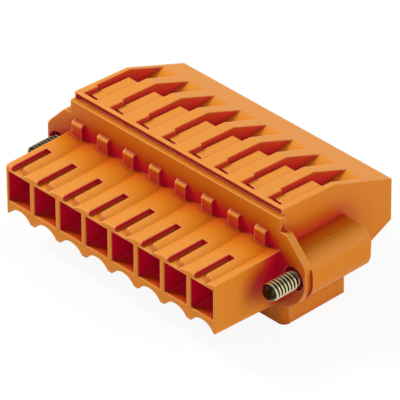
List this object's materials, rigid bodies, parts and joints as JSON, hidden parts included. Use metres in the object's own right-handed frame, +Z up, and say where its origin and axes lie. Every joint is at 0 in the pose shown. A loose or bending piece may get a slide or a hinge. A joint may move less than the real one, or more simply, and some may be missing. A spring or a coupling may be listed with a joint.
{
  "type": "pluggable terminal block",
  "caption": "Pluggable terminal block with a row of sockets on one side, sprung wire clamps with push levers behind, and a captive screw in a flange at each end.",
  "frame": {"origin": "centre of the bounding box on the lowest face, under the middle of the row", "axes": "+X along the row of poles, +Y from the mating face to the wire side, +Z up from the base face"},
  "size_m": [0.035, 0.023, 0.0125],
  "materials": {
    "housing": "satin moulded polyamide",
    "lever": "satin moulded polyamide",
    "contact": "tin-plated copper alloy",
    "spring": "stainless spring strip",
    "screw": "zinc-plated, yellow passivated"
  },
  "bodies": {
    "block": {"front_shell": "housing", "rear_shell": "housing", "contact_1": "contact", "contact_2": "contact", "contact_3": "contact", "contact_4": "contact", "contact_5": "contact", "contact_6": "contact", "contact_7": "contact", "contact_8": "contact", "spring_1": "spring", "spring_2": "spring", "spring_3": "spring", "spring_4": "spring", "spring_5": "spring", "spring_6": "spring", "spring_7": "spring", "spring_8": "spring"},
    "lever_body_1": {"lever_1": "lever"},
    "lever_body_2": {"lever_2": "lever"},
    "lever_body_3": {"lever_3": "lever"},
    "lever_body_4": {"lever_4": "lever"},
    "lever_body_5": {"lever_5": "lever"},
    "lever_body_6": {"lever_6": "lever"},
    "lever_body_7": {"lever_7": "lever"},
    "lever_body_8": {"lever_8": "lever"},
    "screw_body_left": {"screw_left": "screw"},
    "screw_body_right": {"screw_right": "screw"}
  },
  "joints": [
    {"name": "lever_press_1", "type": "hinge", "parent": "block", "child": "lever_body_1", "pos_m": [-0.01225, -0.00113, 0.01145], "axis": [-1, 0, 0], "range_deg": [0, 18], "stiffness_Nm_per_rad": 0.02, "springref_deg": -5.73, "deforming": ["spring_1"]},
    {"name": "lever_press_2", "type": "hinge", "parent": "block", "child": "lever_body_2", "pos_m": [-0.00875, -0.00113, 0.01145], "axis": [-1, 0, 0], "range_deg": [0, 18], "stiffness_Nm_per_rad": 0.02, "springref_deg": -5.73, "deforming": ["spring_2"]},
    {"name": "lever_press_3", "type": "hinge", "parent": "block", "child": "lever_body_3", "pos_m": [-0.00525, -0.00113, 0.01145], "axis": [-1, 0, 0], "range_deg": [0, 18], "stiffness_Nm_per_rad": 0.02, "springref_deg": -5.73, "deforming": ["spring_3"]},
    {"name": "lever_press_4", "type": "hinge", "parent": "block", "child": "lever_body_4", "pos_m": [-0.00175, -0.00113, 0.01145], "axis": [-1, 0, 0], "range_deg": [0, 18], "stiffness_Nm_per_rad": 0.02, "springref_deg": -5.73, "deforming": ["spring_4"]},
    {"name": "lever_press_5", "type": "hinge", "parent": "block", "child": "lever_body_5", "pos_m": [0.00175, -0.00113, 0.01145], "axis": [-1, 0, 0], "range_deg": [0, 18], "stiffness_Nm_per_rad": 0.02, "springref_deg": -5.73, "deforming": ["spring_5"]},
    {"name": "lever_press_6", "type": "hinge", "parent": "block", "child": "lever_body_6", "pos_m": [0.00525, -0.00113, 0.01145], "axis": [-1, 0, 0], "range_deg": [0, 18], "stiffness_Nm_per_rad": 0.02, "springref_deg": -5.73, "deforming": ["spring_6"]},
    {"name": "lever_press_7", "type": "hinge", "parent": "block", "child": "lever_body_7", "pos_m": [0.00875, -0.00113, 0.01145], "axis": [-1, 0, 0], "range_deg": [0, 18], "stiffness_Nm_per_rad": 0.02, "springref_deg": -5.73, "deforming": ["spring_7"]},
    {"name": "lever_press_8", "type": "hinge", "parent": "block", "child": "lever_body_8", "pos_m": [0.01225, -0.00113, 0.01145], "axis": [-1, 0, 0], "range_deg": [0, 18], "stiffness_Nm_per_rad": 0.02, "springref_deg": -5.73, "deforming": ["spring_8"]},
    {"name": "screw_spin_left", "type": "hinge", "parent": "block", "child": "screw_body_left", "pos_m": [-0.01578, -0.00321, 0.00601], "axis": [0, -1, 0], "continuous": true},
    {"name": "screw_spin_right", "type": "hinge", "parent": "block", "child": "screw_body_right", "pos_m": [0.01578, -0.00321, 0.00601], "axis": [0, -1, 0], "continuous": true}
  ]
}
